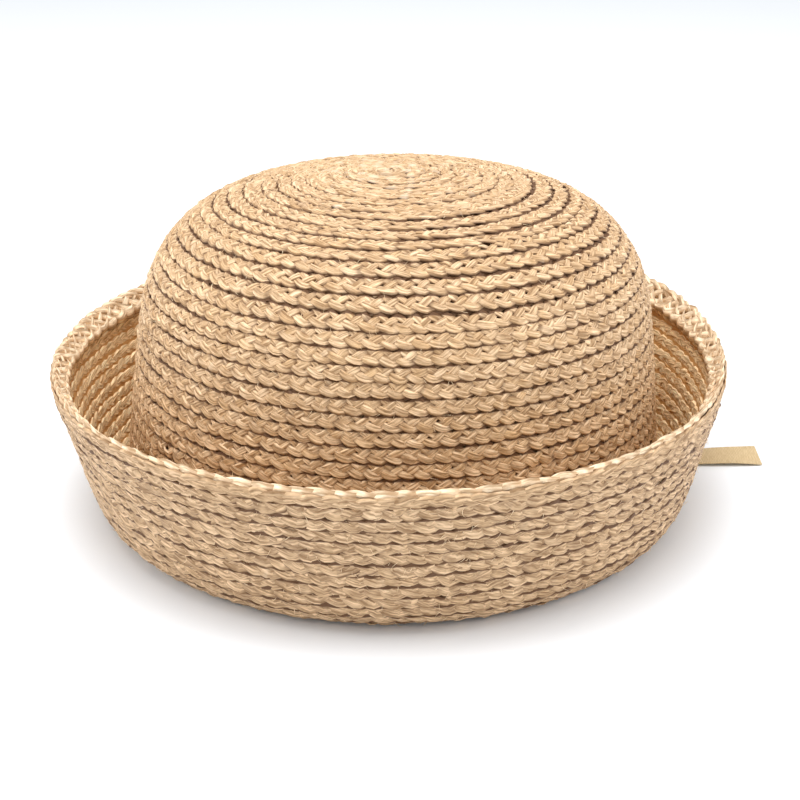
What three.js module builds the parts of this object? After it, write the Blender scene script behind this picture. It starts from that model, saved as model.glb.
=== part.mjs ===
// Raffia sun hat: a domed crown and a turned-up brim of spiral-sewn braid, with a tie ribbon.
// Millimetres, +Z up. The hat stands on the floor at z = 0 and its rim is centred on the Z axis.
import * as THREE from "three";

// Sizes of the hat
const CROWN_HEIGHT = 116.2; // floor to the top of the dome
const CROWN_RADIUS = 97.6; // outside of the crown where it meets the brim
const CROWN_WALL = 2.8;
const CROWN_SHIFT = 1; // the rim is pulled to one side of the crown's base by this much
const CROWN_LEAN = 2.4; // the dome leans to the other side by this much
const CROWN_ROW_AT_TOP = 6.7; // distance from one sewn row to the next
const CROWN_ROW_AT_BASE = 5.2;
const ROW_RELIEF = 0.9; // how far the edge of a row stands proud of the next row
const SPIRAL_START_BACK = 6; // the first rows lie behind the middle of the dome
const SPIRAL_START_SIDE = 2.5;
const SPIRAL_START_REACH = 45;
const RIM_RADIUS = 121.2;
const RIM_HEIGHT = 55.2;
const BRIM_WALL = 2.6;
const BRIM_ROW = 4.65;
const FOOT_WIDTH = 5.3; // flat ring that the hat stands on
const EDGE_BRAID_WIDTH = 9.2;
const EDGE_BRAID_THICKNESS = 1.5;
const EDGE_BRAID_RISE = 1.2; // its upper edge stands this much over the rim
const EDGE_BRAID_LEAN = 1.8; // its lower edge stands this much further off the wall
const RIBBON_WIDTH = 13.5;
const RIBBON_THICKNESS = 0.6;
const SEAM_GAP = 0.3; // between pieces that touch

// Steps of the mesh
const SEGMENTS = 40;
const INSIDE_STEPS = 14;
const ROW_STEP = 0.12; // share of a row that its step takes

// The dome's meridian from the top down, as shares of the crown's radius and height
const CROWN_PROFILE = [
  { out: 0.165, up: 0.9965 },
  { out: 0.33, up: 0.987 },
  { out: 0.494, up: 0.973 },
  { out: 0.575, up: 0.962 },
  { out: 0.654, up: 0.941 },
  { out: 0.727, up: 0.908 },
  { out: 0.792, up: 0.864 },
  { out: 0.844, up: 0.81 },
  { out: 0.885, up: 0.749 },
  { out: 0.912, up: 0.682 },
  { out: 0.929, up: 0.613 },
  { out: 0.941, up: 0.543 },
  { out: 0.952, up: 0.472 },
  { out: 0.962, up: 0.402 },
  { out: 0.971, up: 0.332 },
  { out: 0.981, up: 0.261 },
  { out: 0.988, up: 0.2 },
  { out: 1, up: 0 },
];

// The brim's outer face from the rim down: height as a share of the rim's height, and how far out
// it stands as a share of the way from the foot to the rim
const BRIM_PROFILE = [
  { up: 1, out: 1 },
  { up: 0.916, out: 0.976 },
  { up: 0.845, out: 0.938 },
  { up: 0.704, out: 0.833 },
  { up: 0.564, out: 0.733 },
  { up: 0.42, out: 0.648 },
  { up: 0.28, out: 0.557 },
  { up: 0.211, out: 0.5 },
  { up: 0.143, out: 0.433 },
  { up: 0.08, out: 0.338 },
  { up: 0.03, out: 0.195 },
  { up: 0, out: 0 },
];

// How the rim waves round the hat, every 30 degrees from +X: shares of its height and radius
const RIM_WAVE = [
  { height: 1.009, radius: 0.9955 },
  { height: 1.05, radius: 1.007 },
  { height: 1.08, radius: 1.012 },
  { height: 1.079, radius: 1.0055 },
  { height: 1.032, radius: 1.0 },
  { height: 0.982, radius: 0.991 },
  { height: 0.97, radius: 0.9955 },
  { height: 0.982, radius: 0.9975 },
  { height: 0.993, radius: 1.0025 },
  { height: 0.995, radius: 1.0055 },
  { height: 0.9875, radius: 0.999 },
  { height: 0.9875, radius: 0.997 },
];

// The ribbon's way from inside the crown, down, below the brim and out over the floor.
// turn is the direction of its width round Z in degrees, tip the lift of its far edge in mm.
const RIBBON_WAY = [
  { x: 90.4, y: 20, z: 39, turn: 102, tip: 0 },
  { x: 90.9, y: 20, z: 30, turn: 102, tip: 0 },
  { x: 91.3, y: 20, z: 20, turn: 102, tip: 0 },
  { x: 91.5, y: 20, z: 11, turn: 102, tip: 0 },
  { x: 91.6, y: 20, z: 5, turn: 102, tip: 0 },
  { x: 91.8, y: 20, z: 2.6, turn: 101, tip: 0 },
  { x: 92.4, y: 20, z: 1.1, turn: 100, tip: 0 },
  { x: 93.7, y: 20, z: 0.5, turn: 99, tip: 0 },
  { x: 97, y: 20.1, z: 0.4, turn: 98, tip: 0 },
  { x: 101, y: 20.3, z: 0.4, turn: 97, tip: 0 },
  { x: 108, y: 20.6, z: 0.4, turn: 95, tip: 0 },
  { x: 116, y: 19.6, z: 0.5, turn: 93, tip: 0 },
  { x: 124, y: 19.2, z: 1.1, turn: 92, tip: 0.1 },
  { x: 132, y: 19.2, z: 1.3, turn: 90, tip: 0.5 },
  { x: 139, y: 19.4, z: 0.9, turn: 88, tip: 1.0 },
  { x: 144.2, y: 19.6, z: 0.4, turn: 86, tip: 1.6 },
];
const RIBBON_PASS_WIDTH = 34; // the foot is pressed in over this width where the ribbon passes
const FULL_TURN = 2 * Math.PI;

// A point at each distance along a meridian, with the direction out of the surface
function meridian(points) {
  const lengths = [0];
  for (let i = 1; i < points.length; i++) {
    const step = Math.hypot(points[i].r - points[i - 1].r, points[i].z - points[i - 1].z);
    lengths.push(lengths[i - 1] + step);
  }
  const total = lengths[lengths.length - 1];
  function place(s) {
    let i = 1;
    while (i < lengths.length - 1 && lengths[i] < s) i++;
    const share = (s - lengths[i - 1]) / (lengths[i] - lengths[i - 1]);
    return {
      r: THREE.MathUtils.lerp(points[i - 1].r, points[i].r, share),
      z: THREE.MathUtils.lerp(points[i - 1].z, points[i].z, share),
    };
  }
  function at(s, inward) {
    const reach = total / points.length / 3;
    const before = place(Math.max(0, s - reach));
    const after = place(Math.min(total, s + reach));
    const length = Math.hypot(after.r - before.r, after.z - before.z);
    const here = place(s);
    return {
      r: here.r + (inward * (after.z - before.z)) / length,
      z: here.z - (inward * (after.r - before.r)) / length,
    };
  }
  return { total, at };
}

// The ends of the rows along a meridian, with a pitch that changes evenly
function rowEnds(total, firstPitch, lastPitch) {
  const count = Math.max(2, Math.round((2 * total) / (firstPitch + lastPitch)));
  const ends = [0];
  for (let i = 0; i < count; i++) {
    ends.push(ends[i] + THREE.MathUtils.lerp(firstPitch, lastPitch, i / (count - 1)));
  }
  return ends.map((end) => (end * total) / ends[count]);
}

// Turns a section round the hat. A point with r = 0 at either end of an open section is a pole.
function turned(section, closed, place) {
  const positions = [];
  const rings = [];
  for (const point of section) {
    const pole = point.r === 0;
    const ring = [];
    for (let i = 0; i < (pole ? 1 : SEGMENTS); i++) {
      ring.push(positions.length / 3);
      positions.push(...place(point, (FULL_TURN * i) / SEGMENTS));
    }
    rings.push(ring);
  }
  const faces = [];
  const strips = closed ? rings.length : rings.length - 1;
  for (let k = 0; k < strips; k++) {
    const upper = rings[k];
    const lower = rings[(k + 1) % rings.length];
    for (let i = 0; i < SEGMENTS; i++) {
      const j = (i + 1) % SEGMENTS;
      if (upper.length === 1) {
        faces.push(upper[0], lower[i], lower[j]);
      } else if (lower.length === 1) {
        faces.push(upper[i], lower[0], upper[j]);
      } else {
        faces.push(upper[i], lower[i], lower[j], upper[i], lower[j], upper[j]);
      }
    }
  }
  return closedMesh(positions, faces);
}

function closedMesh(positions, faces) {
  const geometry = new THREE.BufferGeometry();
  geometry.setAttribute("position", new THREE.Float32BufferAttribute(positions, 3));
  geometry.setIndex(faces);
  geometry.computeVertexNormals();
  return geometry;
}

function material(color, roughness) {
  return new THREE.MeshStandardMaterial({ color, roughness, metalness: 0 });
}

const hat = new THREE.Group();
hat.name = "raffia_sun_hat";

function add(name, geometry, look) {
  const mesh = new THREE.Mesh(geometry, look);
  mesh.name = name;
  hat.add(mesh);
}

// Crown: rows from the top of the dome down, each with its lower edge over the next one
const crownBase = BRIM_WALL + SEAM_GAP;
const crownRise = CROWN_HEIGHT - crownBase;
const crownLine = meridian([
  { r: 0, z: CROWN_HEIGHT },
  ...CROWN_PROFILE.map((p) => ({ r: p.out * CROWN_RADIUS, z: crownBase + p.up * crownRise })),
]);
const crownEnds = rowEnds(crownLine.total, CROWN_ROW_AT_TOP, CROWN_ROW_AT_BASE);
const crownSection = [{ r: 0, z: CROWN_HEIGHT }];
for (let k = 1; k < crownEnds.length; k++) {
  const step = (crownEnds[k] - crownEnds[k - 1]) * ROW_STEP;
  crownSection.push(crownLine.at(crownEnds[k] - step, 0));
  if (k < crownEnds.length - 1) {
    crownSection.push(crownLine.at(crownEnds[k] + step, ROW_RELIEF));
  }
}
crownSection.push({ r: CROWN_RADIUS, z: crownBase });
for (let k = INSIDE_STEPS; k > 0; k--) {
  const inside = crownLine.at((crownLine.total * k) / INSIDE_STEPS, CROWN_WALL);
  crownSection.push(k === INSIDE_STEPS ? { r: inside.r, z: crownBase } : inside);
}
crownSection.push({ r: 0, z: CROWN_HEIGHT - CROWN_WALL });

function placeCrown(point, angle) {
  const eccentric = Math.max(0, 1 - point.r / SPIRAL_START_REACH);
  const lean = (CROWN_LEAN * (point.z - crownBase)) / crownRise;
  return [
    CROWN_SHIFT + lean - SPIRAL_START_SIDE * eccentric + point.r * Math.cos(angle),
    SPIRAL_START_BACK * eccentric + point.r * Math.sin(angle),
    point.z,
  ];
}
add("crown", turned(crownSection, false, placeCrown), material(0xddbd93, 0.85));

// Brim: from the rim down the outer face to the flat foot, and back up the inner face
const footOuter = CROWN_RADIUS - CROWN_WALL + FOOT_WIDTH;
const footInner = CROWN_RADIUS - CROWN_WALL;
const brimFace = meridian([
  ...BRIM_PROFILE.map((p) => ({
    r: THREE.MathUtils.lerp(footOuter, RIM_RADIUS, p.out),
    z: p.up * RIM_HEIGHT,
  })),
]);
const brimEnds = rowEnds(brimFace.total, BRIM_ROW, BRIM_ROW);
const brimSection = [brimFace.at(0, BRIM_WALL / 2)];
for (let k = 0; k < brimEnds.length - 1; k++) {
  const step = (brimEnds[k + 1] - brimEnds[k]) * ROW_STEP;
  brimSection.push(brimFace.at(brimEnds[k] + step, k === 0 ? 0 : ROW_RELIEF));
  if (k < brimEnds.length - 2) brimSection.push(brimFace.at(brimEnds[k + 1] - step, 0));
}
brimSection.push({ r: footOuter, z: 0 }, { r: footInner, z: 0 }, { r: footInner, z: BRIM_WALL });
brimSection.push({ r: footOuter, z: BRIM_WALL });
const edgeBraidEnd = EDGE_BRAID_WIDTH;
for (let k = brimEnds.length - 3; k > 0; k--) {
  if (brimEnds[k] < edgeBraidEnd) break;
  const step = (brimEnds[k + 1] - brimEnds[k]) * ROW_STEP;
  brimSection.push(brimFace.at(brimEnds[k] + step, BRIM_WALL));
  brimSection.push(brimFace.at(brimEnds[k] - step, BRIM_WALL - ROW_RELIEF));
}
brimSection.push(brimFace.at(edgeBraidEnd / 2, BRIM_WALL - ROW_RELIEF));
brimSection.push(brimFace.at(0, BRIM_WALL - ROW_RELIEF));

function waveAt(angle) {
  const count = RIM_WAVE.length;
  const turn = (((angle / FULL_TURN) * count) % count + count) % count;
  const i = Math.floor(turn);
  const share = turn - i;
  const cubic = (key) => {
    const [a, b, c, d] = [-1, 0, 1, 2].map((k) => RIM_WAVE[(i + k + count) % count][key]);
    const slope = (c - a) / 2;
    const curve = a - 2.5 * b + 2 * c - d / 2;
    const twist = (d - a) / 2 + 1.5 * (b - c);
    return b + share * (slope + share * (curve + share * twist));
  };
  return { height: cubic("height"), radius: cubic("radius") };
}

const ribbonPassHeight = RIBBON_THICKNESS + 2 * SEAM_GAP;
const ribbonPassY = RIBBON_WAY[8].y;

function placeBrim(point, angle) {
  const up = Math.min(1, Math.max(0, point.z / RIM_HEIGHT));
  const wave = waveAt(angle);
  const r = point.r + up * RIM_RADIUS * (wave.radius - 1);
  const x = CROWN_SHIFT * (1 - up) + r * Math.cos(angle);
  const y = r * Math.sin(angle);
  let z = point.z * (1 + up * (wave.height - 1));
  const across = Math.abs(y - ribbonPassY) / RIBBON_PASS_WIDTH;
  if (x > 0 && across < 1 && z < ribbonPassHeight) {
    const pressed = Math.min(1, 2 * (1 - across));
    z = Math.max(z, ribbonPassHeight * pressed * pressed * (3 - 2 * pressed));
  }
  return [x, y, z];
}
add("brim", turned(brimSection, true, placeBrim), material(0xd3b083, 0.88));

// Edge braid: one flat braid laid round the inner face of the rim
const braidBack = BRIM_WALL - ROW_RELIEF + SEAM_GAP;
const braidFront = braidBack + EDGE_BRAID_THICKNESS;
const braidMiddle = braidFront - EDGE_BRAID_THICKNESS / 3; // the middle of the braid is hollow
const braidSection = [
  { s: 0, inward: braidBack },
  { s: EDGE_BRAID_WIDTH, inward: braidBack },
  { s: EDGE_BRAID_WIDTH, inward: braidFront },
  { s: EDGE_BRAID_WIDTH * 0.75, inward: braidFront },
  { s: EDGE_BRAID_WIDTH * 0.5, inward: braidMiddle },
  { s: EDGE_BRAID_WIDTH * 0.25, inward: braidFront },
  { s: 0, inward: braidFront },
].map((p) => {
  const down = p.s / EDGE_BRAID_WIDTH;
  const point = brimFace.at(p.s, p.inward + EDGE_BRAID_LEAN * down);
  return { r: point.r, z: point.z + EDGE_BRAID_RISE * (1 - down) };
});
add("edge_braid", turned(braidSection, true, placeBrim), material(0xdfc097, 0.85));

// Ribbon: one flat strip swept along its way, square at both ends
const SECTION_CORNERS = [
  [-1, -0.5],
  [-0.98, -1],
  [0.98, -1],
  [1, -0.5],
  [1, 0.5],
  [0.98, 1],
  [-0.98, 1],
  [-1, 0.5],
];
const ribbonPoints = RIBBON_WAY.map((p) => new THREE.Vector3(p.x, p.y, p.z));
const ribbonPositions = [];
RIBBON_WAY.forEach((station, i) => {
  const before = ribbonPoints[Math.max(0, i - 1)];
  const after = ribbonPoints[Math.min(ribbonPoints.length - 1, i + 1)];
  const along = after.clone().sub(before).normalize();
  const turn = THREE.MathUtils.degToRad(station.turn);
  const lift = station.tip / RIBBON_WIDTH;
  const width = new THREE.Vector3(Math.cos(turn), Math.sin(turn), lift);
  width.addScaledVector(along, -width.dot(along)).normalize();
  const normal = along.clone().cross(width).normalize();
  for (const [u, v] of SECTION_CORNERS) {
    const corner = ribbonPoints[i].clone();
    corner.addScaledVector(width, (u * RIBBON_WIDTH) / 2);
    corner.addScaledVector(normal, (v * RIBBON_THICKNESS) / 2);
    corner.z += station.tip / 2;
    ribbonPositions.push(corner.x, corner.y, corner.z);
  }
});
const ribbonFaces = [];
const corners = SECTION_CORNERS.length;
for (let i = 0; i < RIBBON_WAY.length - 1; i++) {
  for (let k = 0; k < corners; k++) {
    const a = i * corners + k;
    const b = i * corners + ((k + 1) % corners);
    ribbonFaces.push(a, b, b + corners, a, b + corners, a + corners);
  }
}
const last = (RIBBON_WAY.length - 1) * corners;
for (let k = 1; k < corners - 1; k++) {
  ribbonFaces.push(0, k + 1, k);
  ribbonFaces.push(last, last + k, last + k + 1);
}
add("ribbon", closedMesh(ribbonPositions, ribbonFaces), material(0xbfa884, 0.8));

export default hat;
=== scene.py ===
import math

import bpy
import numpy as np
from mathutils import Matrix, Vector


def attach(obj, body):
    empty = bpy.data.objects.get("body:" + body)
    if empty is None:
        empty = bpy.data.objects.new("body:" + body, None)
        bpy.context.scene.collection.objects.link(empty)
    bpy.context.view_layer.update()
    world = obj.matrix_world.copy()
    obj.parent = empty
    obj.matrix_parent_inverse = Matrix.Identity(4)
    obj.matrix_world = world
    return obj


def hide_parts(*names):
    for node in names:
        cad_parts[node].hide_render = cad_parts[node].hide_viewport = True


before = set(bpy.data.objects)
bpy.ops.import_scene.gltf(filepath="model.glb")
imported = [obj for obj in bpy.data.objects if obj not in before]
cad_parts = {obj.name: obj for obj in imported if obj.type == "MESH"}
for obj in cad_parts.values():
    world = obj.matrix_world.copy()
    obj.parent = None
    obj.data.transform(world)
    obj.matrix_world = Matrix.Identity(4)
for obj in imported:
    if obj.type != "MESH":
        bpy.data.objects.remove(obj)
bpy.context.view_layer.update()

# Camera: a long lens about 56 cm from the hat, in front of it and looking down on it. It aims at a
# point inside the hat, a third of the way up.
CAMERA_DISTANCE = 0.555
CAMERA_PITCH = math.radians(23.58)
CAMERA_TARGET = (0.00396, 0.0, 0.0333)
camera_data = bpy.data.cameras.new("camera")
camera_data.lens = 67.5
camera_data.sensor_width = 36
camera = bpy.data.objects.new("camera", camera_data)
camera.location = (
    CAMERA_TARGET[0],
    CAMERA_TARGET[1] - CAMERA_DISTANCE * math.cos(CAMERA_PITCH),
    CAMERA_TARGET[2] + CAMERA_DISTANCE * math.sin(CAMERA_PITCH),
)
camera.rotation_euler = (math.pi / 2 - CAMERA_PITCH, 0, 0)
bpy.context.scene.collection.objects.link(camera)
bpy.context.scene.camera = camera

# Ribbon: the end of a flat, ribbed tie ribbon, woven of khaki thread. Its root is sewn inside the
# crown, it passes below the fold of the brim, and its cut end lies on the surface.
MM = 0.001


def mesh_piece(name, points, quads, uv, attributes=None, crisp=0):
    """A smooth mesh from points in mm and quads, with a UV map and float attributes per point. Edges
    between points whose numbers differ by crisp stay sharp."""
    mesh = bpy.data.meshes.new(name)
    points = np.asarray(points, dtype=np.float32) * MM
    quads = np.asarray(quads, dtype=np.int32)
    mesh.vertices.add(len(points))
    mesh.vertices.foreach_set("co", points.ravel())
    mesh.loops.add(quads.size)
    mesh.loops.foreach_set("vertex_index", quads.ravel())
    mesh.polygons.add(len(quads))
    mesh.polygons.foreach_set("loop_start", np.arange(0, quads.size, quads.shape[1], dtype=np.int32))
    mesh.polygons.foreach_set("use_smooth", np.ones(len(quads), dtype=bool))
    mesh.update(calc_edges=True)
    if crisp:
        ends = np.empty(2 * len(mesh.edges), dtype=np.int32)
        mesh.edges.foreach_get("vertices", ends)
        sharp = np.abs(ends[::2] - ends[1::2]) == crisp
        mesh.attributes.new("sharp_edge", "BOOLEAN", "EDGE").data.foreach_set("value", sharp)
    layer = mesh.uv_layers.new(name="UVMap")
    layer.uv.foreach_set("vector", np.asarray(uv, dtype=np.float32)[quads.ravel()].ravel())
    for key, values in (attributes or {}).items():
        layer = mesh.attributes.new(key, "FLOAT", "POINT")
        layer.data.foreach_set("value", np.asarray(values, dtype=np.float32))
    mesh.validate()
    piece = bpy.data.objects.new(name, mesh)
    bpy.context.scene.collection.objects.link(piece)
    return piece


def new_material(name, roughness):
    material = bpy.data.materials.new(name)
    material.use_nodes = True
    nodes = material.node_tree.nodes
    principled = next(n for n in nodes if n.type == "BSDF_PRINCIPLED")
    principled.inputs["Roughness"].default_value = roughness
    return material, nodes, material.node_tree.links, principled


RIBBON_WIDTH = 13.5
RIBBON_THICKNESS = 0.5
RIBBON_WAY = [  # x, y, z, turn of its width in degrees, lift of its far edge
    (90.4, 20, 39, 102, 0),
    (90.9, 20, 30, 102, 0),
    (91.3, 20, 20, 102, 0),
    (91.5, 20, 11, 102, 0),
    (91.6, 20, 5, 102, 0),
    (91.8, 20, 2.6, 101, 0),
    (92.4, 20, 1.1, 100, 0),
    (93.7, 20, 0.5, 99, 0),
    (97, 20.1, 0.4, 98, 0),
    (101, 20.3, 0.4, 97, 0),
    (108, 20.6, 0.4, 95, 0),
    (116, 19.6, 0.5, 93, 0),
    (124, 19.2, 1.1, 92, 0.1),
    (132, 19.2, 1.3, 90, 0.5),
    (139, 19.4, 0.9, 88, 1.0),
    (144.2, 19.6, 0.4, 86, 1.6),
]
way = np.array(RIBBON_WAY, dtype=float)
way_length = np.r_[0, np.cumsum(np.linalg.norm(np.diff(way[:, :3], axis=0), axis=1))]
ribbon_length = way_length[-1]
RIBBON_STEPS = 160
RIBBON_ACROSS = 24
RIBBON_SMOOTHING = 5  # steps to each side
RIBBON_EDGE = 0.3  # thickness at its edges, as a share of its thickness
WEFT_SPACING = 0.62
WARP_SPACING = 0.45
at_length = np.linspace(0, ribbon_length, RIBBON_STEPS)
stations = np.stack([np.interp(at_length, way_length, way[:, k]) for k in range(5)], 1)
kernel = np.hanning(2 * RIBBON_SMOOTHING + 1)
kernel /= kernel.sum()
padded = np.pad(stations, ((RIBBON_SMOOTHING, RIBBON_SMOOTHING), (0, 0)), mode="edge")
stations = np.stack([np.convolve(padded[:, k], kernel, "valid") for k in range(5)], 1)
turn = np.radians(stations[:, 3])
tangent = np.gradient(stations[:, :3], axis=0)
tangent /= np.linalg.norm(tangent, axis=1)[:, None]
width_way = np.stack([np.cos(turn), np.sin(turn), stations[:, 4] / RIBBON_WIDTH], 1)
width_way -= (width_way * tangent).sum(1)[:, None] * tangent
width_way /= np.linalg.norm(width_way, axis=1)[:, None]
face_way = np.cross(tangent, width_way)
ribbon_centre = stations[:, :3] + np.array([0, 0, 0.5]) * stations[:, 4][:, None]
across = np.linspace(-0.5, 0.5, RIBBON_ACROSS)
rib_points = []
for side in (1, -1):
    thick = RIBBON_THICKNESS / 2 * np.where(np.abs(across) > 0.49, RIBBON_EDGE, 1)
    spread = across if side == 1 else across[::-1]
    rib_points.append(
        ribbon_centre[:, None]
        + width_way[:, None] * spread[None, :, None] * RIBBON_WIDTH
        + face_way[:, None] * (side * thick)[None, :, None]
    )
rib_points = np.concatenate(rib_points, 1)
ring_size = 2 * RIBBON_ACROSS
index = np.arange(RIBBON_STEPS * ring_size).reshape(RIBBON_STEPS, ring_size)
a, b = index[:-1], np.roll(index, -1, 1)[:-1]
c, d = np.roll(index, -1, 1)[1:], index[1:]
ribbon_quads = np.stack([a, d, c, b], -1).reshape(-1, 4)
caps = []
for row, flip in ((0, False), (RIBBON_STEPS - 1, True)):
    for k in range(RIBBON_ACROSS - 1):
        cap = [index[row, j] for j in (k, k + 1, ring_size - 2 - k, ring_size - 1 - k)]
        caps.append(cap[::-1] if flip else cap)
ribbon_uv = np.stack(
    [
        np.repeat(at_length, ring_size),
        np.tile(np.r_[across, across[::-1]] * RIBBON_WIDTH, RIBBON_STEPS),
    ],
    1,
)
ribbon_quads = np.r_[ribbon_quads, np.array(caps)]
ribbon = mesh_piece("ribbon_cloth", rib_points.reshape(-1, 3), ribbon_quads, ribbon_uv)
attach(ribbon, "root")
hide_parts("ribbon")

material, nodes, links, principled = new_material("ribbon_cloth", 0.78)
uv_node = nodes.new("ShaderNodeUVMap")
uv_node.uv_map = "UVMap"
split = nodes.new("ShaderNodeSeparateXYZ")
links.new(uv_node.outputs["UV"], split.inputs["Vector"])


def math_node(nodes, links, operation, first, second=None):
    node = nodes.new("ShaderNodeMath")
    node.operation = operation
    for socket, value in zip(node.inputs, (first, second)):
        if value is None:
            continue
        if isinstance(value, (int, float)):
            socket.default_value = value
        else:
            links.new(value, socket)
    return node.outputs["Value"]


def thread_wave(way, spacing, share):
    turns = math_node(nodes, links, "MULTIPLY", split.outputs[way], 2 * math.pi / spacing)
    return math_node(nodes, links, "MULTIPLY", math_node(nodes, links, "SINE", turns), share)


weft = thread_wave("X", WEFT_SPACING, 0.7)
weave = math_node(nodes, links, "ADD", weft, thread_wave("Y", WARP_SPACING, 0.3))
slub = nodes.new("ShaderNodeTexNoise")
slub.inputs["Scale"].default_value = 1.0
slub.inputs["Detail"].default_value = 4
stretch = nodes.new("ShaderNodeMapping")
stretch.inputs["Scale"].default_value = (3.2, 0.25, 1)
links.new(uv_node.outputs["UV"], stretch.inputs["Vector"])
links.new(stretch.outputs["Vector"], slub.inputs["Vector"])
weave_shade = math_node(nodes, links, "MULTIPLY", weave, 0.12)
shade = math_node(nodes, links, "ADD", weave_shade, slub.outputs["Fac"])
ramp = nodes.new("ShaderNodeValToRGB")
ramp.color_ramp.elements[0].position = 0.3
ramp.color_ramp.elements[0].color = (0.50, 0.36, 0.19, 1)
ramp.color_ramp.elements[1].position = 0.72
ramp.color_ramp.elements[1].color = (0.68, 0.53, 0.31, 1)
links.new(shade, ramp.inputs["Fac"])
links.new(ramp.outputs["Color"], principled.inputs["Base Color"])
bump = nodes.new("ShaderNodeBump")
bump.inputs["Strength"].default_value = 0.35
bump.inputs["Distance"].default_value = 0.0002
links.new(weave, bump.inputs["Height"])
links.new(bump.outputs["Normal"], principled.inputs["Normal"])
ribbon.data.materials.append(material)

# Crown: one flat plait of raffia, sewn in a spiral from near the middle of the top down, so that the
# lower edge of each row lies over the next row. A thin core behind the plait closes its holes.
CROWN_HEIGHT = 116.2
CROWN_RADIUS = 97.6
CROWN_WALL = 2.8
CROWN_BASE = 2.9
CROWN_SHIFT = 1.0
CROWN_LEAN = 2.4
SPIRAL_START_BACK = 20  # the rows start this far behind the middle of the top
SPIRAL_START_SIDE = 4.2
SPIRAL_START_REACH = 90
CROWN_PROFILE = [  # out and up, as shares of the radius and of the height over the base
    (0, 1), (0.165, 0.9965), (0.33, 0.987), (0.494, 0.973), (0.575, 0.962), (0.654, 0.941),
    (0.727, 0.908), (0.792, 0.864), (0.844, 0.81), (0.885, 0.749), (0.912, 0.682), (0.929, 0.613),
    (0.941, 0.543), (0.952, 0.472), (0.962, 0.402), (0.971, 0.332), (0.981, 0.261), (0.988, 0.2), (1, 0),
]
PROFILE_STEP = 0.25


class Meridian:
    """A smoothed section line in mm: r and z by the distance s along it, with the way out."""

    def __init__(self, points, sigma, axis_start):
        points = np.array(points, dtype=float)
        lengths = np.r_[0, np.cumsum(np.linalg.norm(np.diff(points, axis=0), axis=1))]
        self.total = lengths[-1]
        reach = 20.0
        s = np.arange(-reach, self.total + reach, PROFILE_STEP)
        inside = np.clip(s, 0, self.total)
        line = np.stack([np.interp(inside, lengths, points[:, k]) for k in (0, 1)], 1)
        over_end = np.clip(s - self.total, 0, None)[:, None]
        line += over_end * (points[-1] - points[-2]) / np.linalg.norm(points[-1] - points[-2])
        before = np.clip(-s, 0, None)
        if axis_start:
            mirrored = np.stack([np.interp(before, lengths, points[:, k]) for k in (0, 1)], 1)
            line = np.where((s < 0)[:, None], mirrored * np.array([-1, 1]), line)
        else:
            line += before[:, None] * (points[0] - points[1]) / np.linalg.norm(points[0] - points[1])
        count = int(4 * sigma / PROFILE_STEP)
        weights = np.exp(-0.5 * (np.arange(-count, count + 1) * PROFILE_STEP / sigma) ** 2)
        weights /= weights.sum()
        smooth = np.stack([np.convolve(line[:, k], weights, "same") for k in (0, 1)], 1)
        keep = slice(count, -count)
        self.s, self.line = s[keep], smooth[keep]
        way = np.gradient(self.line, axis=0)
        way /= np.linalg.norm(way, axis=1)[:, None]
        self.out = np.stack([-way[:, 1], way[:, 0]], 1)

    def at(self, s, h):
        r = np.interp(s, self.s, self.line[:, 0]) + h * np.interp(s, self.s, self.out[:, 0])
        z = np.interp(s, self.s, self.line[:, 1]) + h * np.interp(s, self.s, self.out[:, 1])
        return r, z


crown_line = Meridian(
    [(out * CROWN_RADIUS, CROWN_BASE + up * (CROWN_HEIGHT - CROWN_BASE)) for out, up in CROWN_PROFILE],
    sigma=2.5,
    axis_start=True,
)


def place_crown(s, angle, h):
    shifted = np.clip(1 - np.abs(s) / SPIRAL_START_REACH, 0, 1)
    side = s * np.cos(angle) - SPIRAL_START_SIDE * shifted
    back = s * np.sin(angle) + SPIRAL_START_BACK * shifted
    r, z = crown_line.at(np.hypot(side, back), h)
    turned = np.arctan2(back, side)
    lean = CROWN_LEAN * (z - CROWN_BASE) / (CROWN_HEIGHT - CROWN_BASE)
    return np.stack([CROWN_SHIFT + lean + r * np.cos(turned), r * np.sin(turned), z], -1)


STRANDS = 5  # of most plaits here
PLAIT_CLEARANCE = 0.15  # below the highest strand, to stay in the wall
SLOPE_START, SLOPE_END = 0.7, 0.9  # a row dips from so far before to so far past its neighbour's edge
UNCOVERED = -9.0  # cover of parts that no row lies over
STRAND_SHIFT = 137.0  # mm between the strands' places in the fibre pattern
# Near the spiral's start the rows also dip less and get less painted shade and painted shadow.
FAINT_REACH = 48  # how far from the spiral's start the lines between rows are faint
# How unevenly the strands lie, in mm, radians or shares
UNEVEN_CROSSING = 0.12
UNEVEN_ALONG = 0.22
UNEVEN_ROW = 0.16
UNEVEN_SIDEWAYS = 0.14
UNEVEN_SIZE = 0.10
UNEVEN_LIFT = 0.07
UNEVEN_ROLL = 0.13
UNEVEN_CREASE = 0.10


def over_under(strands):
    """A strand's height at each half place of its period, 1 over and -1 under the ones it crosses.
    It starts at the hidden edge, folds at the proud edge half-way, and comes back."""
    heights = np.zeros(4 * strands + 1)
    for x in range(1, strands):
        heights[2 * x] = 1 if (strands - 1 - x) % 2 == 0 else -1
        heights[2 * (2 * strands - x)] = -heights[2 * x]
    heights[2 * strands - 1 : 2 * strands + 2] = 1, 0.1, -1
    heights[0], heights[1], heights[-2], heights[-1] = 0, -1, 1, 0
    return np.arange(4 * strands + 1) / 2, heights


def wander(rng, count, samples, every, size):
    """Smooth random values for each strand, with a new value every so many samples."""
    knots = rng.normal(0, size, (count, int(samples / every) + 3))
    x = np.arange(samples) / every
    low = x.astype(int)
    share = x - low
    share = share * share * (3 - 2 * share)
    return knots[:, low] * (1 - share) + knots[:, low + 1] * share


def smooth_step(value, low, high):
    share = np.clip((value - low) / (high - low), 0, 1)
    return share * share * (3 - 2 * share)


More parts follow.
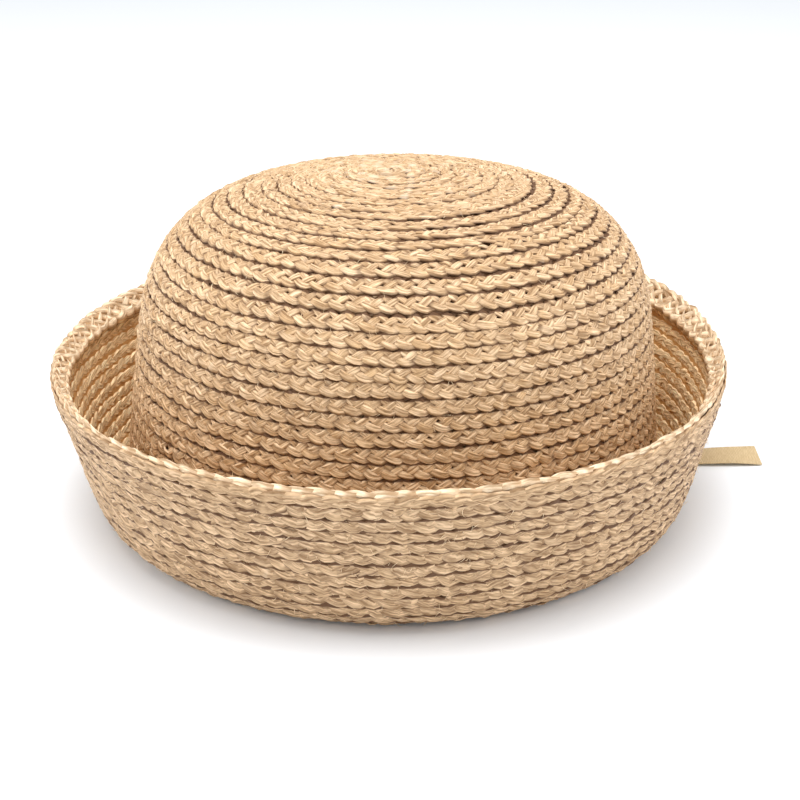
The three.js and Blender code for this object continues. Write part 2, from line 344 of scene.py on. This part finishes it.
def tube_quads(index):
    """Quads along tubes, from the numbers of their points by tube, step and place round the tube."""
    beside = np.roll(index, -1, 2)
    corners = [index[:, :-1], beside[:, :-1], beside[:, 1:], index[:, 1:]]
    return np.stack(corners, -1).reshape(-1, 4)


def plait(place, angles, edges, side, lower_proud, rng, width=9.0, period=26.0, strand=3.0,
          thickness=0.7, rise=0.24, drop=1.2, pitch=5.0, both_proud=0.0, base=0.0, off=0.0, sink=None,
          deepest=None, open_depth=0.0, plump_back=False, per_slot=2, strands=STRANDS, flat=0.6,
          side_shade=0.0, flip=1, soft=1.2, faint_top=0.0, narrow=0.8):
    """Strands of a flat plait along a row line. edges is the distance of the row's proud edge along
    the meridian at each of the angles. side is 1 on the outer face and -1 on the inner face. Gives
    the four corners of each strand at each step, and what the material and the mesh need there."""
    toward = 1 if lower_proud else -1
    slots = 2 * strands
    middle = edges - toward * width / 2
    line = place(middle, angles, base * np.ones_like(middle))
    length = np.r_[0, np.cumsum(np.linalg.norm(np.diff(line, axis=0), axis=1))]
    samples = int(length[-1] / period * slots * per_slot)

    def uneven(every, size, count=strands):
        return wander(rng, count, samples, every * per_slot, size)

    # Where each strand is in its way across the plait and back
    slot = np.arange(samples) / per_slot
    x = slot[None, :] + (np.arange(strands) * slots / strands)[:, None]
    phase = np.mod(x + uneven(3, UNEVEN_CROSSING), slots)
    way = 1 - 2 * np.abs(phase / strands - 1)
    fold = np.tanh(soft * way) / math.tanh(soft)
    height = flip * np.interp(phase, *over_under(strands))
    along = slot[None, :] * period / slots + uneven(1.5, UNEVEN_ALONG)
    along = np.clip(along, 0, length[-1])
    centre = np.interp(along, length, middle)
    angle = np.interp(along, length, angles)
    reach = (width - strand) / 2
    row_wobble = uneven(5, UNEVEN_ROW, 1)
    s = centre + toward * (fold * reach + uneven(1.5, UNEVEN_SIDEWAYS) + row_wobble)

    # Its width, thickness and height off the wall
    visible = np.clip(height, -1, 1) * 0.5 + 0.5
    edge = np.clip((fold - 0.55) / 0.45, 0, 1)
    other_edge = np.clip((-fold - 0.55) / 0.45, 0, 1)
    faint = faint_top * np.clip(1 - centre / FAINT_REACH, 0, 1)
    plump = 1 + 0.15 * edge + both_proud * 0.2 * other_edge
    wide = strand * (narrow + (1.04 - narrow) * visible) * (1 + 0.3 * faint)
    wide = wide * (1 + uneven(2, UNEVEN_SIZE))
    thick = thickness * (0.85 + 0.2 * visible) * plump * (1 + uneven(2, UNEVEN_SIZE))
    from_edge = (1 - fold) * reach + strand / 2
    covered = np.interp(along, length, pitch * np.ones_like(edges))
    slope = smooth_step(from_edge, covered - SLOPE_START, covered + SLOPE_END)
    tilt = -drop * slope * (1 - both_proud) * (1 - 0.6 * faint)
    lift = height * rise + 0.12 * edge + both_proud * 0.12 * other_edge + tilt
    lift = lift + uneven(1.2, UNEVEN_LIFT)
    h = side * (lift - (thickness / 2 + rise + PLAIT_CLEARANCE))
    if sink is not None:
        h = h - side * np.interp(along, length, sink)
    h = h + base + off * (0.5 - fold / 2)
    if deepest is not None:
        h = np.maximum(h, deepest) if side > 0 else np.minimum(h, deepest)

    # The four corners of its section
    p = place(s, angle, h)
    out = place(s, angle, h + side * 0.2) - p
    out /= np.linalg.norm(out, axis=-1, keepdims=True)
    tangent = np.gradient(p, axis=1)
    tangent /= np.linalg.norm(tangent, axis=-1, keepdims=True) + 1e-9
    across = np.cross(tangent, out)
    across /= np.linalg.norm(across, axis=-1, keepdims=True) + 1e-9
    up = np.cross(across, tangent)
    roll = uneven(1.5, UNEVEN_ROLL)[..., None]
    across, up = across * np.cos(roll) + up * np.sin(roll), up * np.cos(roll) - across * np.sin(roll)
    half = (wide / 2)[..., None]
    tall = (thick / 2)[..., None]
    crease = np.clip(uneven(1.5, UNEVEN_CREASE), -0.15, 0.15)[..., None]
    if plump_back:
        corners = [(-1, -0.1), (-0.1, 1), (1, -0.1), (0.1, -1)]
    else:
        corners = [
            (-1, -0.8), (crease - flat, 1 - 0.5 * crease), (crease + flat, 1 + 0.5 * crease), (1, -0.8)
        ]
    ring = np.stack([p + across * half * u + up * tall * v for u, v in corners], 2)

    # What the material reads: tone of the strand, depth in the plait, and distance past the edge of
    # the row that covers it. Depth sets painted shade in deep parts and a painted highlight on the
    # highest ones; the distance sets a painted shadow line just under that row's edge.
    tone = rng.normal(0, 1, (strands, 1)) * 0.3 + uneven(6, 0.6)
    tone = tone + uneven(1.5, 0.35)
    # Depth sets painted shade in the deep parts; near the spiral's start it is raised, which gives less
    # painted shade there.
    depth = np.clip((lift - tilt * 0.8 + rise) / (2 * rise + 0.2) + 0.4 * faint, open_depth, 1.3)
    # UV across grows towards the strand's lower side, where the shader paints shade; side_shade keeps the
    # side corners off the ends, for less painted shade.
    shares = [side_shade, 0.5 - flat / 2, 0.5 + flat / 2, 1 - side_shade]
    across_is_up = across[..., 2].mean() > 0
    if across_is_up:
        shares = [1 - share for share in shares]
    if plump_back:
        shares = [0.06, 0.5, 0.92, 0.5]
    proud_way = -1 if across_is_up == lower_proud else 1
    past_edge = (from_edge - covered)[..., None]
    cover = np.concatenate([past_edge - proud_way * half * u for u, v in corners], -1)
    # Near the spiral's start the painted shadow line under each row fades.
    cover = cover - faint[..., None]
    if both_proud:
        cover = np.full_like(cover, UNCOVERED)
    return {"ring": ring, "along": along, "tone": tone, "depth": depth, "cover": cover, "across": shares,
            "crisp": 0 if plump_back else 4}


def plait_pieces(name, made, count):
    """Splits the strands of a plait into pieces along its length and makes their meshes."""
    samples = made["ring"].shape[1]
    pieces = []
    for part in range(count):
        first = part * (samples - 1) // count
        last = (part + 1) * (samples - 1) // count + 1
        ring = made["ring"][:, first:last]
        strands, n = ring.shape[:2]
        index = np.arange(strands * n * 4).reshape(strands, n, 4)
        start, end = index[:, 0, ::-1], index[:, -1]
        quads = np.concatenate([tube_quads(index), start, end])
        uv = np.stack(
            [np.repeat(made["along"][:, first:last].ravel(), 4), np.tile(made["across"], strands * n)], 1
        )
        uv[:, 0] += np.repeat(np.arange(strands) * STRAND_SHIFT, n * 4)
        attributes = {
            "tone": np.repeat(made["tone"][:, first:last].ravel(), 4),
            "depth": np.repeat(made["depth"][:, first:last].ravel(), 4),
            "cover": made["cover"][:, first:last].ravel(),
        }
        suffix = "_%d" % (part + 1) if count > 1 else ""
        points = ring.reshape(-1, 3)
        pieces.append(mesh_piece(name + suffix, points, quads, uv, attributes, made["crisp"]))
    return pieces


def raffia_group():
    """Node group: raffia's colour, height and roughness from fibre lines along a strand. The colour also
    carries painted shade and a painted highlight, set by the depth and cover attributes and by the
    strand's sides.
    """
    group = bpy.data.node_groups.new("raffia_fibre", "ShaderNodeTree")
    # The third input colour is painted shade, mixed in where the plait is deep, along the strands' sides
    # and under the row that covers them.
    for name in ("Light", "Dark", "PaintedShade"):
        group.interface.new_socket(name, in_out="INPUT", socket_type="NodeSocketColor")
    for name, kind in (("Color", "Color"), ("Height", "Float"), ("Roughness", "Float")):
        group.interface.new_socket(name, in_out="OUTPUT", socket_type="NodeSocket" + kind)
    nodes, links = group.nodes, group.links
    enter = nodes.new("NodeGroupInput")
    leave = nodes.new("NodeGroupOutput")
    uv = nodes.new("ShaderNodeUVMap")
    uv.uv_map = "UVMap"

    def attribute(name):
        node = nodes.new("ShaderNodeAttribute")
        node.attribute_name = name
        return node.outputs["Fac"]

    tone, depth, cover = attribute("tone"), attribute("depth"), attribute("cover")

    def noise(scale_along, scale_across, detail):
        mapping = nodes.new("ShaderNodeMapping")
        mapping.inputs["Scale"].default_value = (scale_along, scale_across, 1)
        links.new(uv.outputs["UV"], mapping.inputs["Vector"])
        texture = nodes.new("ShaderNodeTexNoise")
        texture.inputs["Scale"].default_value = 1
        texture.inputs["Detail"].default_value = detail
        texture.inputs["Roughness"].default_value = 0.6
        links.new(mapping.outputs["Vector"], texture.inputs["Vector"])
        return texture.outputs["Fac"]

    fibre = noise(0.13, 4.4, 3)
    fold = noise(0.10, 2.2, 2)
    blotch = noise(0.35, 0.8, 3)

    def mix(kind, amount, first, second):
        node = nodes.new("ShaderNodeMix")
        node.data_type = "RGBA"
        node.blend_type = kind
        for socket, value in ((node.inputs[0], amount), (node.inputs[6], first), (node.inputs[7], second)):
            if isinstance(value, (int, float, tuple)):
                socket.default_value = value
            else:
                links.new(value, socket)
        return node.outputs[2]

    def ranged(value, low, high, to_low=0.0, to_high=1.0):
        node = nodes.new("ShaderNodeMapRange")
        node.inputs["From Min"].default_value = low
        node.inputs["From Max"].default_value = high
        node.inputs["To Min"].default_value = to_low
        node.inputs["To Max"].default_value = to_high
        links.new(value, node.inputs["Value"])
        return node.outputs["Result"]

    def plus(first, second, share):
        return math_node(nodes, links, "ADD", first, math_node(nodes, links, "MULTIPLY", second, share))

    toned = plus(ranged(blotch, 0.3, 0.7), tone, 0.35)
    lined = plus(toned, ranged(fibre, 0.35, 0.7), -0.55)
    colour = mix("MIX", ranged(lined, -0.4, 1.0), enter.outputs["Dark"], enter.outputs["Light"])
    sides = nodes.new("ShaderNodeSeparateXYZ")
    links.new(uv.outputs["UV"], sides.inputs["Vector"])
    streak = mix("MIX", ranged(fibre, 0.36, 0.62), (1.27, 1.26, 1.24, 1), (0.54, 0.46, 0.375, 1))
    colour = mix("MULTIPLY", 1.0, colour, streak)
    # Painted shade: the shade colour where the plait is deep, at crossings and where strands dive under
    # others.
    colour = mix("MIX", ranged(depth, 0.42, -0.10), colour, enter.outputs["PaintedShade"])
    # Painted shade along each strand's lower side.
    colour = mix("MIX", ranged(sides.outputs["Y"], 0.84, 0.97), colour, enter.outputs["PaintedShade"])
    # Painted highlight: paler where the plait is highest, and near the crown's top.
    colour = mix("MIX", ranged(depth, 0.95, 1.25, 0, 0.4), colour, (0.97, 0.84, 0.66, 1))
    # Painted shadow: a thin dark line just under the edge of the row above.
    colour = mix("MIX", ranged(cover, 0.0, 0.3), colour, enter.outputs["PaintedShade"])
    # Painted shade, weaker, along each strand's upper side.
    colour = mix("MIX", ranged(sides.outputs["Y"], 0.1, 0.0, 0, 0.6), colour, enter.outputs["PaintedShade"])
    links.new(colour, leave.inputs["Color"])
    height = plus(math_node(nodes, links, "MULTIPLY", fibre, 0.45), fold, 0.9)
    links.new(height, leave.inputs["Height"])
    links.new(ranged(fibre, 0.3, 0.7, 0.55, 0.75), leave.inputs["Roughness"])
    return group


RAFFIA = raffia_group()


# The third colour given is the painted shade colour.
def raffia_material(name, light, dark, shade_colour):
    material, nodes, links, principled = new_material(name, 0.65)
    fibre = nodes.new("ShaderNodeGroup")
    fibre.node_tree = RAFFIA
    for key, value in (("Light", light), ("Dark", dark), ("PaintedShade", shade_colour)):
        fibre.inputs[key].default_value = (*value, 1)
    links.new(fibre.outputs["Color"], principled.inputs["Base Color"])
    links.new(fibre.outputs["Roughness"], principled.inputs["Roughness"])
    bump = nodes.new("ShaderNodeBump")
    bump.inputs["Strength"].default_value = 0.6
    bump.inputs["Distance"].default_value = 0.0009
    links.new(fibre.outputs["Height"], bump.inputs["Height"])
    links.new(bump.outputs["Normal"], principled.inputs["Normal"])
    return material


def finish_piece(piece, node, material):
    piece.data.materials.append(material)
    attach(piece, "root")
    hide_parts(node)


ROW_EDGES = [  # turns of the spiral, and the distance from its start to the row's edge
    (-0.6, 2.2), (0, 4.6), (0.5, 7.5), (3.5, 22.9), (5.5, 31.8), (7.5, 42.7), (8.5, 48.3), (9.5, 55.1),
    (10.5, 61.0), (11.5, 66.3), (12.5, 71.0), (14.5, 81.8), (15.5, 86.9), (45.5, 241.4),
]
TURN_STEPS = 240
TOP_SINK = 0.4  # the rows lie this much deeper at the top, and as high as elsewhere from here on
TOP_SINK_END = 72
crown_turns = np.arange(ROW_EDGES[0][0], 45, 1 / TURN_STEPS)
crown_edges = np.interp(crown_turns, *zip(*ROW_EDGES))
crown_edges = crown_edges[crown_edges < crown_line.total - 0.2]
crown_turns = crown_turns[: len(crown_edges)]
crown_angles = math.radians(90) + 2 * math.pi * crown_turns
crown_raffia = raffia_material(
    "crown_raffia", (0.77, 0.565, 0.365), (0.59, 0.385, 0.20), (0.12, 0.05, 0.015)
)
crown_plait = plait(
    place_crown, crown_angles, crown_edges, side=1, lower_proud=True, rng=np.random.default_rng(11),
    base=0.4, drop=0.8, faint_top=0.9, pitch=np.gradient(crown_edges) * TURN_STEPS,
    sink=TOP_SINK * np.clip((TOP_SINK_END - crown_edges) / 60, 0, 1)
)
for piece in plait_pieces("crown_plait", crown_plait, 3):
    finish_piece(piece, "crown", crown_raffia)


def turned_wall(name, place, section, steps):
    """A closed wall turned round the hat from a ring of (s, h) points, coloured all over in its material's
    painted shade.
    """
    section = np.array(section, dtype=float)
    angles = np.arange(steps) * 2 * math.pi / steps
    s = np.repeat(section[:, 0], steps)
    h = np.repeat(section[:, 1], steps)
    points = place(s, np.tile(angles, len(section)), h)
    index = np.arange(len(points)).reshape(len(section), steps)
    following = np.roll(index, -1, 0)
    corners = [index, following, np.roll(following, -1, 1), np.roll(index, -1, 1)]
    quads = np.stack(corners, -1).reshape(-1, 4)
    count = len(points)
    uv = np.stack([np.tile(angles, len(section)) * WALL_UV_RADIUS, s], 1)
    # Depth −0.1 gives the whole wall its material's painted shade colour.
    values = {"tone": np.zeros(count), "depth": np.full(count, -0.1), "cover": np.full(count, UNCOVERED)}
    return mesh_piece(name, points, quads, uv, values)


CORE_OUT = 1.95
CORE_ROWS = 40
WALL_UV_RADIUS = 90  # the fibre pattern's mm for one radian round the hat
INSIDE_RIDGE = 0.5  # inside the crown the rows show as ridges
RIDGE_SHAPE = (0.2, 0.9, 1.0, -0.6)
core_section = [(s, -CORE_OUT) for s in np.linspace(1.0, crown_line.total, CORE_ROWS)]
inside_rows = crown_edges[:: TURN_STEPS // len(RIDGE_SHAPE)]
core_section += [
    (s, -CROWN_WALL - INSIDE_RIDGE * RIDGE_SHAPE[k % len(RIDGE_SHAPE)]) for k, s in enumerate(inside_rows)
][::-1]
crown_core = turned_wall("crown_core", place_crown, core_section, steps=150)
# The crown's core is a dark sheet of painted shade, for the shade seen through the plait's holes.
core_raffia = raffia_material("core_raffia", (0.42, 0.24, 0.10), (0.30, 0.15, 0.06), (0.20, 0.09, 0.03))
finish_piece(crown_core, "crown", core_raffia)

# Brim: the same plait sewn on outwards and turned up. Its outside is the hat's underside, where the
# lower edge of each row stands proud. On the inside the upper edges do. Two plaits and a thin core
# make the wall, and one more row on the outside ends at the rim.
RIM_RADIUS = 121.2
RIM_HEIGHT = 55.2
BRIM_WALL = 2.6
FOOT_WIDTH = 5.3
FOOT_RADIUS = CROWN_RADIUS - CROWN_WALL + FOOT_WIDTH
BRIM_PROFILE = [  # up and out, as shares of the rim's height and of the way from foot to rim
    (1, 1), (0.916, 0.976), (0.845, 0.938), (0.704, 0.833), (0.564, 0.733), (0.42, 0.648),
    (0.28, 0.557), (0.211, 0.5), (0.143, 0.433), (0.08, 0.338), (0.03, 0.195), (0, 0),
]
RIM_WAVE = [  # height and radius every 30 degrees from +X
    (1.009, 0.9955), (1.05, 1.007), (1.08, 1.012), (1.079, 1.0055), (1.032, 1.0), (0.982, 0.991),
    (0.97, 0.9955), (0.982, 0.9975), (0.993, 1.0025), (0.995, 1.0055), (0.9875, 0.999), (0.9875, 0.997),
]
WAVE_STEPS = 720
FOOT_REACH = 12
RIBBON_PASS_Y = 20.1  # the foot is pressed in here, where the ribbon passes below it
RIBBON_PASS_WIDTH = 34
RIBBON_PASS_HEIGHT = 1.2
brim_points = [
    (FOOT_RADIUS + out * (RIM_RADIUS - FOOT_RADIUS), up * RIM_HEIGHT) for up, out in BRIM_PROFILE
]
brim_points.append((FOOT_RADIUS - FOOT_REACH, 0))
brim_line = Meridian(brim_points, sigma=1.6, axis_start=False)
brim_length = brim_line.total - FOOT_REACH
wave = np.fft.rfft(np.array(RIM_WAVE), axis=0)
wave = np.pad(wave, ((0, WAVE_STEPS // 2 + 1 - len(wave)), (0, 0)))
wave_fine = np.fft.irfft(wave, WAVE_STEPS, axis=0) * WAVE_STEPS / len(RIM_WAVE)
wave_fine = np.concatenate([wave_fine, wave_fine[:1]])
wave_angles = np.linspace(0, 2 * math.pi, WAVE_STEPS + 1)


def place_brim(s, angle, h):
    r, z = brim_line.at(s, h)
    turned = np.mod(angle, 2 * math.pi)
    up = np.clip(z / RIM_HEIGHT, 0, 1.1)
    r = r + up * RIM_RADIUS * (np.interp(turned, wave_angles, wave_fine[:, 1]) - 1)
    z = z * (1 + up * (np.interp(turned, wave_angles, wave_fine[:, 0]) - 1))
    x = CROWN_SHIFT * (1 - up) + r * np.cos(angle)
    y = r * np.sin(angle)
    pressed = np.clip(1 - np.abs(y - RIBBON_PASS_Y) / RIBBON_PASS_WIDTH, 0, 1) * (x > 0)
    z = z + RIBBON_PASS_HEIGHT * smooth_step(pressed, 0, 1) * np.clip(1 - z / 8, 0, 1)
    return np.stack([x, y, z], -1)


BRIM_PITCH = 4.65
RIM_ROW = 4.3  # from the rim to the lower edge of the row there
INNER_START = 4.5
# The brim's outside takes a darker copy of the crown's raffia: painted shade on a face that leans out and
# looks partly down.
brim_raffia = raffia_material(
    "brim_raffia", (0.70, 0.495, 0.305), (0.53, 0.35, 0.19), (0.12, 0.05, 0.015)
)
OUTER_LOOK = {"strands": 3, "period": 16.8, "thickness": 0.5, "rise": 0.10, "pitch": BRIM_PITCH + 0.2,
              "flip": -1, "per_slot": 1.7}
RING_OVERLAP = 4  # steps by which a ring's end lies on its start, a little deeper
ring_steps = np.arange(TURN_STEPS + RING_OVERLAP)
ring_angles = math.radians(90) - 2 * math.pi * ring_steps / TURN_STEPS
ring_sink = 0.35 * smooth_step(ring_steps, TURN_STEPS - 1, TURN_STEPS + RING_OVERLAP - 2)
rim_row = plait(
    place_brim, ring_angles, np.full(len(ring_angles), RIM_ROW),
    side=1, lower_proud=True, rng=np.random.default_rng(21),
    width=5.0, strand=3.0, both_proud=1.0, sink=ring_sink, open_depth=0.4, base=0.2, side_shade=0.14,
    **OUTER_LOOK
)
for piece in plait_pieces("brim_rim_row", rim_row, 1):
    finish_piece(piece, "brim", brim_raffia)
outer_turns = np.arange(0, (brim_length + 1.5 - RIM_ROW) / BRIM_PITCH - 0.5, 1 / TURN_STEPS)
outer_edges = RIM_ROW + BRIM_PITCH * (outer_turns + 0.5)
outer_angles = math.radians(90) - 2 * math.pi * outer_turns
outer_plait = plait(
    place_brim, outer_angles, outer_edges, side=1, lower_proud=True, rng=np.random.default_rng(22),
    width=7.8, strand=4.3, drop=0.55, open_depth=0.3, sink=0.8 * np.clip(1 - 3 * outer_turns, 0, 1),
    deepest=-1.05, flat=0.75, soft=0.8, **OUTER_LOOK
)
outer_plait["ring"][..., 2] = np.maximum(outer_plait["ring"][..., 2], 0)
for piece in plait_pieces("brim_outer_plait", outer_plait, 2):
    finish_piece(piece, "brim", brim_raffia)
inner_turns = np.arange(0, (brim_length - 2) / BRIM_PITCH, 1 / TURN_STEPS)
inner_edges = INNER_START + BRIM_PITCH * inner_turns
inner_angles = math.radians(90) - 2 * math.pi * inner_turns
inner_plait = plait(
    place_brim, inner_angles, inner_edges, side=-1, lower_proud=False, rng=np.random.default_rng(23),
    width=7.4, period=26.0, strand=3.0, thickness=0.9, rise=0.2, drop=1.1, pitch=BRIM_PITCH - 0.6,
    base=-BRIM_WALL - 0.1, deepest=-1.6, per_slot=1.25
)
# The inside of the brim takes a paler copy of the raffia: painted light for the channel, which the lamps
# reach less.
inside_raffia_lit = raffia_material("inside_raffia_lit", (1.0, 0.84, 0.55), (0.92, 0.65, 0.36), (0.60, 0.31, 0.10))
for piece in plait_pieces("brim_inner_plait", inner_plait, 2):
    finish_piece(piece, "brim", inside_raffia_lit)
BRIM_CORE_OUT, BRIM_CORE_IN = 1.15, 1.9  # its faces, under the brim's outside
core_rows = np.linspace(-0.5, brim_length + 5, CORE_ROWS)
brim_core_section = [(s, -BRIM_CORE_OUT) for s in core_rows]
brim_core_section += [(s, -BRIM_CORE_IN) for s in core_rows[::-1]]
brim_core = turned_wall("brim_core", place_brim, brim_core_section, steps=120)
# The brim's core is a dark sheet of painted shade, for the shade seen through the plaits' holes.
brim_core_raffia = raffia_material(
    "brim_core_raffia", (0.62, 0.40, 0.22), (0.48, 0.28, 0.13), (0.34, 0.18, 0.07)
)
finish_piece(brim_core, "brim", brim_core_raffia)

# Edge braid: one more flat plait of raffia, laid round the inside of the rim and sewn to it, with both
# of its edges showing. Its upper edge is the rope-like line on top of the rim, and its lower edge
# stands off the wall.
EDGE_WIDTH = 10.1
EDGE_RISE = 2.4  # of its upper edge over the rim
EDGE_LEAN = 3.8
# The rope along the rim takes a paler copy of the raffia: painted light.
edge_raffia = raffia_material("edge_raffia", (1.0, 0.83, 0.61), (0.86, 0.65, 0.43), (0.44, 0.24, 0.10))
edge_plait = plait(
    place_brim, ring_angles, np.full(len(ring_angles), -EDGE_RISE),
    side=-1, lower_proud=False, rng=np.random.default_rng(31),
    width=EDGE_WIDTH, period=31.0, strand=3.9, thickness=1.15, rise=0.2, drop=0.0,
    both_proud=1.0, narrow=0.95, soft=1.4, sink=ring_sink, base=-BRIM_WALL + 0.6, off=-EDGE_LEAN,
    open_depth=0.1, plump_back=True, per_slot=4, flip=-1
)
for piece in plait_pieces("edge_plait", edge_plait, 1):
    finish_piece(piece, "edge_braid", edge_raffia)

# Loose ends: thin raffia fibres that stick out between the rows. They are the frayed ends and edges
# of the strands, caught in the seams.
WISP_STEPS = 6
WISP_SIDES = 3
WISP_START = -0.4


def wisps(name, place, count, s_range, reach, lift, radius, seed):
    """Short curved fibres that start just below a surface and end a little off it."""
    rng = np.random.default_rng(seed)
    t = np.linspace(0, 1, WISP_STEPS)[None, :]
    angle = rng.uniform(0, 2 * math.pi, (count, 1))
    s = rng.uniform(*s_range, (count, 1))
    s = s + rng.normal(0, 0.3, (count, 1))
    heading = rng.uniform(0, 2 * math.pi, (count, 1))
    length = reach * rng.uniform(0.5, 1.3, (count, 1))
    turn = heading + rng.normal(0, 0.9, (count, 1)) * t
    along = np.cumsum(np.cos(turn), 1) / WISP_STEPS * length
    down = np.cumsum(np.sin(turn), 1) / WISP_STEPS * length
    here = place(s, angle, np.zeros_like(s))
    radius_here = np.maximum(np.hypot(here[..., 0], here[..., 1]), 8)
    height = WISP_START + lift * rng.uniform(0.2, 1.3, (count, 1)) * t
    p = place(s + down, angle + along / radius_here, height)
    p[..., 2] = np.maximum(p[..., 2], 0.2)
    tangent = np.gradient(p, axis=1)
    tangent /= np.linalg.norm(tangent, axis=-1, keepdims=True) + 1e-9
    first = np.cross(tangent, np.array([0.3, 0.2, 0.93]))
    first /= np.linalg.norm(first, axis=-1, keepdims=True) + 1e-9
    second = np.cross(tangent, first)
    width = radius * rng.uniform(0.7, 1.4, (count, 1, 1)) * (1 - 0.75 * t[..., None])
    spin = [2 * math.pi * k / WISP_SIDES for k in range(WISP_SIDES)]
    ring = np.stack([p + width * (first * math.cos(a) + second * math.sin(a)) for a in spin], 2)
    index = np.arange(count * WISP_STEPS * WISP_SIDES).reshape(count, WISP_STEPS, WISP_SIDES)
    uv = np.stack([np.repeat((t * length).ravel(), WISP_SIDES), np.full(index.size, 0.5)], 1)
    values = {
        "tone": np.repeat(rng.normal(0.6, 0.8, count), WISP_STEPS * WISP_SIDES),
        "depth": np.full(index.size, 1.0),
        "cover": np.full(index.size, UNCOVERED),
    }
    piece = mesh_piece(name, ring.reshape(-1, 3), tube_quads(index), uv, values)
    bpy.context.view_layer.objects.active = piece
    bpy.ops.object.mode_set(mode="EDIT")
    bpy.ops.mesh.select_all(action="SELECT")
    bpy.ops.mesh.fill_holes(sides=WISP_SIDES)
    bpy.ops.mesh.normals_make_consistent(inside=False)
    bpy.ops.object.mode_set(mode="OBJECT")
    return piece


fibre_raffia = raffia_material("fibre_raffia", (0.95, 0.78, 0.54), (0.80, 0.56, 0.30), (0.6, 0.4, 0.2))
crown_wisps = wisps(
    "crown_wisps", place_crown, count=1300, s_range=(12, 178), reach=3.6, lift=1.4, radius=0.09, seed=41
)
finish_piece(crown_wisps, "crown", fibre_raffia)
brim_wisps = wisps(
    "brim_wisps", place_brim, count=1300, s_range=(3, 56), reach=3.4, lift=1.2, radius=0.10, seed=42
)
finish_piece(brim_wisps, "brim", fibre_raffia)

# Floor and light: a pale seamless surface, just below the hat so that the two don't flicker, under
# one broad soft light from above, weaker ones at both sides and an even white sky.
FLOOR_SIZE = 8
FLOOR_DROP = 0.0002
bpy.ops.mesh.primitive_plane_add(size=FLOOR_SIZE, location=(0, 0, -FLOOR_DROP))
floor = bpy.context.object
floor.name = "floor"
material, nodes, links, principled = new_material("floor", 0.9)
principled.inputs["Base Color"].default_value = (0.88, 0.912, 0.95, 1)
principled.inputs["Specular IOR Level"].default_value = 0.2
floor.data.materials.append(material)


def area_light(name, location, target, size, power):
    data = bpy.data.lights.new(name, "AREA")
    data.shape = "DISK"
    data.size = size
    data.energy = power
    light = bpy.data.objects.new(name, data)
    light.location = location
    light.rotation_euler = (Vector(target) - Vector(location)).to_track_quat("-Z", "Y").to_euler()
    bpy.context.scene.collection.objects.link(light)


area_light("key", (-0.08, -0.12, 1.3), (0, 0, 0.05), size=0.9, power=13.2)
area_light("left", (-1.1, -0.1, 0.55), (0, 0, 0.06), size=0.6, power=3.4)
area_light("right", (1.1, -0.1, 0.55), (0, 0, 0.06), size=0.6, power=3.3)
world = bpy.data.worlds.new("world")
world.use_nodes = True
background = world.node_tree.nodes["Background"]
background.inputs["Color"].default_value = (1, 1, 1, 1)
background.inputs["Strength"].default_value = 0.8
bpy.context.scene.world = world
bpy.context.scene.view_settings.view_transform = "Standard"
